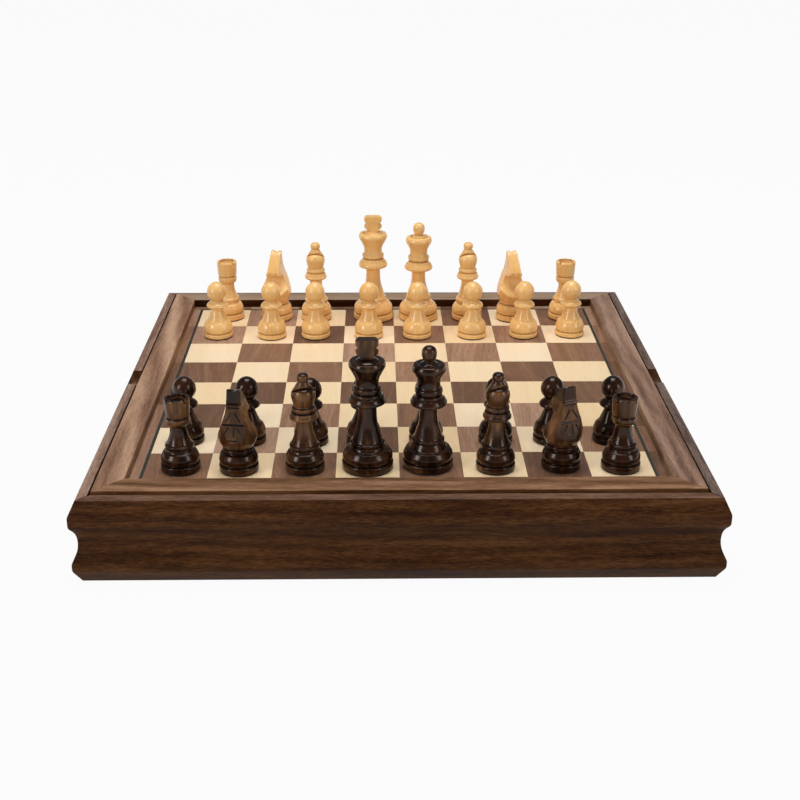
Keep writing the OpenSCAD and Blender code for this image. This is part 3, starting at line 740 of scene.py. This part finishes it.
BISHOP = [
    *foot_ring(11.8, 4.4, 0.8, 10.4), (11.5, 5.9, 0.5), (11.7, 9, 1.6), (10, 12.2, 0.5), (8.9, 12.7, 0.6),
    (8.3, 14.4, 0.4), (9, 15.3, 0.4), (8.9, 16.5, 0.3), (7.9, 17.2, 0.6), (6.2, 21.5, 4), (4.9, 27, 4),
    (4.6, 32.4, 0.3), (7, 32.6, 0.5), (8.5, 33.6, 0.6), (8.5, 34.9, 0.5), (7.7, 36, 0.3),
    (7.6, 37.2, 0.5), (6.2, 37.9, 0.2), (6.2, 38.4, 0.2), (7.1, 38.9, 0.4), (7, 40.6, 0.5),
    (5.9, 41.4, 0.3), (5.9, 41.9, 0.2), (6.6, 44.2, 1.5), (7.3, 47.4, 1.5), (7, 50, 1.5), (3.3, 56, 0.6),
    (3, 56.8, 0.3), (3.6, 57.6, 0.6), (3.7, 59.8, 1), (2.4, 61.3, 0.9), (0, 61.3, 0)]
ROOK = [
    *foot_ring(11.8, 4.6, 0.8, 10.3), (11.4, 6.1, 0.5), (11.5, 9.2, 1.6), (9.8, 12.4, 0.5),
    (8.6, 12.9, 0.6), (8.1, 14.6, 0.4), (8.6, 15.6, 0.4), (8.5, 16.8, 0.3), (7.5, 17.5, 0.6),
    (5.8, 21.5, 4), (4.9, 25.5, 3), (4.8, 28.6, 0.4), (6.4, 29.8, 0.8), (7.1, 31.4, 0.6),
    (7.1, 33.6, 0.5), (6.2, 34.4, 0.15), (6.2, 34.9, 0.15), (7.1, 35.4, 0.3), (7.4, 40, 2),
    (7.6, 45.4, 0.5), (7.2, 46.2, 0.4), (5.4, 46.2, 0.3), (5.2, 43.6, 0.3), (0, 43.6, 0)]
PAWN = [
    *foot_ring(10.8, 3.6, 0.7, 9.5), (10.5, 5.1, 0.5), (10.8, 8, 2), (9.4, 11.8, 1.4), (7.6, 13.2, 1.5),
    (5.6, 18, 3), (4.6, 21, 1.5), (4.5, 22.6, 0.3), (7.3, 23.6, 0.5), (8, 24.6, 0.5), (7.4, 26, 0.5),
    (5.4, 27.7, 0.4), (4.7, 28.3, 0.2), (4.6, 29.5, 0.2), (7.2, 32.2, 2.6), (7.2, 38.2, 3), (3, 42.6, 3),
    (0, 42.6, 0)]
KNIGHT_FOOT = [
    *foot_ring(11.8, 4.6, 0.8, 10.4), (11.5, 6.1, 0.5), (11.7, 9.4, 1.6), (10.2, 12.4, 0.5),
    (8.4, 12.9, 0.5), (8.2, 13.6, 0.3), (9.3, 14.3, 0.4), (9.3, 15.2, 0.4), (8.3, 15.9, 0.3),
    (8.8, 16.4, 0.2), (0, 16.4, 0)]
OUTLINES = dict(king=KING, queen=QUEEN, bishop=BISHOP, rook=ROOK, pawn=PAWN, knight=KNIGHT_FOOT)
FOOT_R = {name: max(across for across, _, _ in outline) for name, outline in OUTLINES.items()}
print("the feet's radii are", FOOT_R)


# %% Turn an outline on the lathe
SAW_LONG = 24
# In millimetres: how far up and down a groove's shoulders may be, and how far below them its painted
# shade starts, is darkest, and is no groove any more but the man's waist
SHOULDER, SHALLOW, DEEP, WAIST = 1.7, 0.25, 1.05, 2.6


def turned(name, outline, slices=64):
    """Sweeps an outline in millimetres once around the upright axis through the origin."""
    piece = draw(name, [Vector((across, 0, up)) * MM for across, up in softened(outline)])
    bpy.ops.mesh.spin(steps=slices, angle=2 * math.pi, center=(0, 0, 0), axis=(0, 0, 1))
    return leave_edit_mode(piece)


def saw_cut(piece, size, place, turn):
    """Takes a block out of a piece, its size and place in millimetres and its turn in radians."""
    deselect()
    bpy.ops.mesh.primitive_cube_add(size=1, location=Vector(place) * MM, rotation=turn)
    bpy.context.object.dimensions = Vector(size) * MM
    bpy.ops.object.transform_apply(location=True, rotation=True, scale=True)
    cut(piece, bpy.context.object)


def joined(first, *others):
    """Several pieces as one."""
    select_only(first)
    for piece in others:
        piece.select_set(True)
    bpy.ops.object.join()
    return first


def mark_grooves(piece, depth_at):
    """Stores how deep each vertex lies in a groove, from 0 to 1, where the finishes paint shade into the
    wood.
    """
    marks = piece.data.attributes.new("groove", "FLOAT", "POINT")
    marks.data.foreach_set("value", [min(max(depth_at(v.co / MM), 0), 1) for v in piece.data.vertices])


def turned_depth(outline):
    """Tells how much painted shade a turned groove gets at a point, by how far its shoulders stand out beyond
    it.
    """
    line = [(point.x, point.y) for point in softened(outline)]

    def depth(place):
        near = [point for point in line if abs(point[1] - place.z) < SHOULDER]
        above = [across for across, up in near if up > place.z]
        below = [across for across, up in near if up < place.z]
        if not above or not below:
            return 0
        sunk = min(max(above), max(below)) - math.hypot(place.x, place.y)
        return (sunk - SHALLOW) / (DEEP - SHALLOW) if sunk < WAIST else 0

    return depth


def grooved(kind, slices=64, cuts=()):
    """A turned man, or the turned foot of a knight, with his saw cuts made and his grooves marked."""
    man = turned(kind, OUTLINES[kind], slices)
    for size, place, turn in cuts:
        saw_cut(man, size, place, turn)
    mark_grooves(man, turned_depth(OUTLINES[kind]))
    return man


patterns = {"queen": grooved("queen"), "pawn": grooved("pawn", slices=56)}
print({name: len(piece.data.polygons) for name, piece in patterns.items()})

# %% The king's cross is turned, then milled flat at front and back, and chamfered below its cap
# The arms are milled a little deeper than the cap above them, whose edge throws a thin shadow on them.
CROSS_T, CAP_Z, ARMS_SUNK, CROSS_EDGE = 7, 77.6, 0.5, 0.25 * MM
CHAMFER_IN, CHAMFER_OUT = Vector((3.5, 3.5)), Vector((6.9, 1.0))


def milled(name, planes):
    """The cross's turning, cut off flat at each plane: a point in millimetres, and the side that goes."""
    piece = turned(name, CROSS)
    bpy.ops.object.mode_set(mode="EDIT")
    for place, away in planes:
        bpy.ops.mesh.select_all(action="SELECT")
        bpy.ops.mesh.bisect(plane_co=Vector(place) * MM, plane_no=away, use_fill=True, clear_outer=True)
    leave_edit_mode(piece)
    break_edges(piece, CROSS_EDGE)
    return piece


def flats(half):
    """The planes of a front and a back that are both this far from the middle."""
    return [((0, side * half, 0), (0, side, 0)) for side in (-1, 1)]


edge = CHAMFER_OUT - CHAMFER_IN
chamfers = [((side * CHAMFER_IN.x, front * CHAMFER_IN.y, 0), (side * -edge.y, front * edge.x, 0))
            for side in (-1, 1) for front in (-1, 1)]
arms = milled("arms", flats(CROSS_T / 2 - ARMS_SUNK) + chamfers + [((0, 0, CAP_Z), (0, 0, 1))])
cap = milled("cap", flats(CROSS_T / 2) + [((0, 0, CAP_Z), (0, 0, -1))])
patterns["king"] = joined(grooved("king"), arms, cap)
print("the king stands", round(patterns["king"].dimensions.z / MM, 1), "mm above his felt")

# %% The bishop's slit is a saw cut that slopes down into the head
SLIT_T, SLIT_SLOPE, SLIT_Z = 1.1, math.radians(38), 49.8
slit_at = (0, -SAW_LONG / 2 * math.cos(SLIT_SLOPE), SLIT_Z + SAW_LONG / 2 * math.sin(SLIT_SLOPE))
slit = ((SAW_LONG, SAW_LONG, SLIT_T), slit_at, (-SLIT_SLOPE, 0, 0))
patterns["bishop"] = grooved("bishop", cuts=[slit])
print("bishop:", len(patterns["bishop"].data.polygons), "faces")

# %% The rook's top is notched by two crossing saw cuts
NOTCH_T, NOTCH_DEEP, ROOK_H = 1.2, 1.8, 46.2
notches = [((SAW_LONG, NOTCH_T, 2 * NOTCH_DEEP), (0, 0, ROOK_H), (0, 0, math.radians(turn)))
           for turn in (45, 135)]
patterns["rook"] = grooved("rook", cuts=notches)
print("rook:", len(patterns["rook"].data.polygons), "faces")

# %% [markdown]
# ## The knight
#
# A knight can't be turned. It is carved from a turned blank: the carver saws the side view, then the
# front view, and rounds what is left. The side view is drawn as a slab, and two Boolean intersections,
# with the front view and the blank, do the other two cuts. A voxel remesh and a light smoothing then
# give the soft, slightly rounded facets that a knife and sandpaper leave.

# %% Saw and round the knight's head
KNIGHT_SIDE = [
    (-9.2, 16.2, 0), (-11.7, 20.8, 2.2), (-10.6, 27.5, 2), (-7.4, 43.6, 0.3), (-7.3, 44.8, 0.2),
    (-6.4, 45.2, 0.3), (-5.8, 54, 0.3), (-3.6, 53.4, 0.4), (-0.6, 51.6, 1), (6.4, 43.5, 1.5),
    (8.9, 39, 1.2), (8.8, 37.2, 0.6), (7.6, 36.4, 0.5), (3.4, 37.2, 1.2), (1.6, 34.5, 1.5),
    (2.2, 29, 3), (8.2, 24, 3), (11.6, 20.8, 2), (9.2, 16.2, 0)]
KNIGHT_FRONT = [
    (9.2, 16.2, 0), (11.7, 20.8, 2.2), (10.7, 25, 1.5), (8, 31, 2.5), (4.7, 40, 3.5), (3.8, 54, 0)]
KNIGHT_BLANK = [
    (0, 16.2, 0), (9.2, 16.2, 0), (11.7, 20.8, 2.2), (11.7, 26, 3), (11.4, 32, 3), (10.6, 40, 3),
    (9.4, 48, 3), (8, 54, 0), (0, 54, 0)]
KNIGHT_H, EAR_GAP, EAR_DEEP = 54, 5, 1.5
SLAB_T, VOXEL = 40, 0.42 * MM


def slab(name, outline, seen_from):
    """An outline in millimetres, seen from the side or the front, as a thick slab."""
    near, side = -SLAB_T / 2, seen_from == "side"
    points = [(near, across, up) if side else (across, near, up) for across, up in outline]
    pull = (SLAB_T * MM, 0, 0) if side else (0, SLAB_T * MM, 0)
    piece = draw(name, [Vector(point) * MM for point in points])
    bpy.ops.mesh.edge_face_add()
    bpy.ops.mesh.extrude_region_move(TRANSFORM_OT_translate={"value": pull})
    return leave_edit_mode(piece)


half = softened(KNIGHT_FRONT)
whole = half + [Vector((-across, up)) for across, up in half[::-1]]
head = slab("knight", softened(KNIGHT_SIDE), "side")
cut(head, slab("front_view", whole, "front"), "INTERSECT")
cut(head, turned("blank", KNIGHT_BLANK), "INTERSECT")
above = KNIGHT_H + 0.1
cut(head, slab("ears", [(-EAR_GAP / 2, above), (0, KNIGHT_H - EAR_DEEP), (EAR_GAP / 2, above)], "front"))
apply_modifier(head, "REMESH", mode="VOXEL", voxel_size=VOXEL)
apply_modifier(head, "SMOOTH", factor=0.5, iterations=2)
print("the head is", [round(side / MM, 1) for side in head.dimensions], "mm")

# %% Cut the lines of the mane, the mouth and the eyes
MANE_LOW, MANE_HIGH = Vector((-10.6, 27.5)), Vector((-7.4, 43.6))
MANE_STROKES = [
    (-3.7, 43.1, 3.7, 43.1, 0.38), (-0.9, 40.4, -4.2, 34.9, 0.4), (0.9, 40.4, 4.2, 34.9, 0.4),
    (-6.9, 33.1, 6.9, 33.1, 0.6), (-2.7, 31.7, -5.9, 26, 0.4), (0.6, 31.7, 0.5, 25.8, 0.4),
    (2.6, 31.7, 5.2, 26.6, 0.4), (-3.4, 23.6, 3.2, 23.6, 0.36)]
MOUTH = ((6, 5.4, 38.9), (1.2, 9.6, 38.9), 0.35)
EYE = ((6, 1.2, 46.6), (3.4, 2.2, 46.2), 0.7)
PAST_END, PAST_WALL = 0.02, 0.05


def on_mane(x, z):
    """The point of the mane's flat back at a place across and a height."""
    share = (z - MANE_LOW.y) / (MANE_HIGH.y - MANE_LOW.y)
    return Vector((x, MANE_LOW.x + share * (MANE_HIGH.x - MANE_LOW.x), z))


def gouge(start, end, radius):
    """A thin rod from one point to another, in millimetres, that cuts a round groove."""
    deselect()
    turn = (end - start).to_track_quat("Z", "Y").to_euler()
    bpy.ops.mesh.primitive_cylinder_add(
        vertices=12, radius=radius * MM, depth=(end - start).length * MM,
        location=(start + end) / 2 * MM, rotation=turn)
    return bpy.context.object


CUTS = [(on_mane(x0, z0), on_mane(x1, z1), radius) for x0, z0, x1, z1, radius in MANE_STROKES]
for side in (-1, 1):
    for (x0, y0, z0), (x1, y1, z1), radius in (MOUTH, EYE):
        CUTS.append((Vector((side * x0, y0, z0)), Vector((side * x1, y1, z1)), radius))
cut(head, joined(*[gouge(*stroke) for stroke in CUTS]))


def carved_depth(place):
    """1 on the walls of a cut, where the finish paints shade, and 0 elsewhere."""
    for start, end, radius in CUTS:
        nearest, share = geometry.intersect_point_line(place, start, end)
        if -PAST_END < share < 1 + PAST_END and (nearest - place).length < radius + PAST_WALL:
            return 1
    return 0


mark_grooves(head, carved_depth)
select_only(head)
bpy.ops.object.shade_smooth_by_angle(angle=SMOOTH_BELOW)
patterns["knight"] = joined(grooved("knight"), head)
print("knight:", len(patterns["knight"].data.polygons), "faces")

# %% [markdown]
# ## Setting up the game
#
# Nobody sets a man down in the exact middle of his square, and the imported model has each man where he
# stands. So a copy of each pattern is put where the model's own man is, which its box gives. Rooks,
# bishops, knights and pawns are also turned, as a hand leaves them.

# %% Put a man on the board
play_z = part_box("light_squares")[1].z
FELT_INSET = 0.5


def dress(man, node, kind):
    """Gives a man his side's wood and puts him in the place of his node."""
    if node.startswith("light"):
        show_as(man, node, node, boxwood)
    else:
        show_as(man, node, node, stained[kind])


def stand(pattern, name, place, turn):
    """A copy of a pattern with its own mesh, set down at a place and turned about its own axis."""
    man = pattern.copy()
    man.data = pattern.data.copy()
    man.name = man.data.name = name
    bpy.context.collection.objects.link(man)
    man.location = (*place, play_z)
    turn_to(man, turn)
    return man


def felt_disc(name, place, kind):
    """The felt under a man's foot, cut a little smaller than the foot."""
    radius = FOOT_R[kind] - FELT_INSET
    disc = turned(name, [(0, 0, 0), (radius, 0, 0.2), (radius, FELT_T, 0.2), (0, FELT_T, 0)], slices=40)
    disc.location = (*place, play_z)
    turn_to(disc, 0)
    return disc


def glue_under(felt, node):
    """Dresses felt and lets it ride with the men of a node."""
    felt.data.materials.append(black_felt)
    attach(felt, node)


def middle(points):
    """The middle of the points' extent in plan."""
    return [(min(p[i] for p in points) + max(p[i] for p in points)) / 2 for i in (0, 1)]


# %% Kings, queens, bishops, knights and rooks
TURNS = {"light_knight_left": 170, "light_knight_right": 190, "dark_knight_left": -9, "dark_knight_right": 22,
         "light_bishop_right": 10, "dark_bishop_left": 12, "dark_bishop_right": 20,
         "light_rook_left": 180, "light_rook_right": 180}
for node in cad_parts:
    kind = node.split("_")[1]
    if kind in patterns:
        place = middle(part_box(node))
        man = stand(patterns[kind], node + "_turned", place, TURNS.get(node, 0))
        dress(man, node, kind)
        glue_under(felt_disc(node + "_felt", place, kind), node)
        print(node, "stands at", [round(c / MM, 1) for c in place])

# %% Pawns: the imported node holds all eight, so each is found by the file it stands on
PAWN_TURN = 40


def pawn_places(node):
    """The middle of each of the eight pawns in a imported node, from left to right."""
    files = [[] for _ in range(8)]
    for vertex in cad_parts[node].data.vertices:
        files[int(vertex.co.x // square) + 4].append(vertex.co)
    return [middle(file) for file in files]


for side in ("light", "dark"):
    node = side + "_pawns"
    places = list(enumerate(pawn_places(node)))
    row = [stand(patterns["pawn"], f"{side}_pawn_{i}", place, PAWN_TURN * i) for i, place in places]
    felts = [felt_disc(f"{side}_pawn_felt_{i}", place, "pawn") for i, place in places]
    pawns, felt = joined(*row), joined(*felts)
    pawns.name, felt.name = node + "_turned", node + "_felt"
    dress(pawns, node, "pawn")
    glue_under(felt, node)
    print(pawns.name, len(pawns.data.polygons), "faces")

for pattern in patterns.values():
    bpy.data.objects.remove(pattern)

# %% [markdown]
# ## Floor and light
#
# The box stands on a plain pale floor, in soft light from a large lamp overhead and two dim ones at
# the front, which draw the long highlights on the men. Lighting a floor until it turns white would
# bleach the box as well. So its material is mostly a plain white wherever it is seen, straight on or
# in a reflection, and the rest of it is lit and takes the shadow. To bounced light it is a middling
# grey. The world is brightest near the horizon, as in a room with white walls.

# %% Floor
FLOOR_SIDE, LIT_GREY, WHITE_SHARE = 60, (0.45, 0.45, 0.46, 1), 0.95
deselect()
bpy.ops.mesh.primitive_plane_add(size=FLOOR_SIDE)
floor = bpy.context.object
floor.name = "floor"
ground = Finish("floor_white", Roughness=0.9, Specular_IOR_Level=0.1)
floor.data.materials.append(ground.paint(LIT_GREY))
seen, reflected, through = [ground.node("LightPath", {}, output=f"Is {kind} Ray")
                            for kind in ("Camera", "Glossy", "Transmission")]
white = ground.node("Emission", {"Color": (1, 1, 1, 1), "Strength": 1})
share = seen.math("MAXIMUM", reflected).math("MAXIMUM", through) * WHITE_SHARE
mixed = ground.node("MixShader", {0: share, 1: Value(ground.shader.outputs[0]), 2: white})
link(mixed, ground.tree.nodes["Material Output"].inputs["Surface"])
print("a floor", FLOOR_SIDE, "metres wide")

# %% World
# Brightness near the horizon and overhead, and the directions' Z between which one becomes the other
HORIZON, SKY, FADE_LOW, FADE_HIGH = 0.97, 0.18, 0.03, 0.12
world = bpy.data.worlds.new("studio")
world.use_nodes = True
bpy.context.scene.world = world
sky = world.node_tree
direction = sky.nodes.new("ShaderNodeTexCoord")
parts = sky.nodes.new("ShaderNodeSeparateXYZ")
level = sky.nodes.new("ShaderNodeMapRange")
level.interpolation_type = "SMOOTHSTEP"
sky.links.new(direction.outputs["Generated"], parts.inputs[0])
sky.links.new(parts.outputs["Z"], level.inputs["Value"])
SPAN = {"From Min": FADE_LOW, "From Max": FADE_HIGH, "To Min": HORIZON, "To Max": SKY}
for socket, number in SPAN.items():
    level.inputs[socket].default_value = number
sky.links.new(level.outputs[0], sky.nodes["Background"].inputs["Strength"])
sky.nodes["Background"].inputs["Color"].default_value = (1, 1, 1, 1)
print("the world is", HORIZON, "bright at the horizon and", SKY, "overhead")

# %% Lamps: softboxes of a width and a height in metres and a power in watts, that face a target
LAMPS = [
    ("overhead_softbox", 0.9, 0.9, 17.5, (0, 0.15, 1.6), (0, 0, 0)),
    ("left_softbox", 0.5, 1.0, 14, (-1.45, -1.1, 0.8), (0, 0, 0.05)),
    ("right_softbox", 0.5, 1.0, 8, (1.45, -1.1, 0.8), (0, 0, 0.05)),
]
for name, width, height, power, place, target in LAMPS:
    deselect()
    bpy.ops.object.light_add(type="AREA", location=place)
    light = bpy.context.object
    light.name, light.data.shape = name, "RECTANGLE"
    light.data.size, light.data.size_y, light.data.energy = width, height, power
    light.rotation_euler = (Vector(target) - Vector(place)).to_track_quat("-Z", "Y").to_euler()
bpy.context.scene.view_settings.view_transform = "Standard"
print(len(LAMPS), "lamps in a pale room")
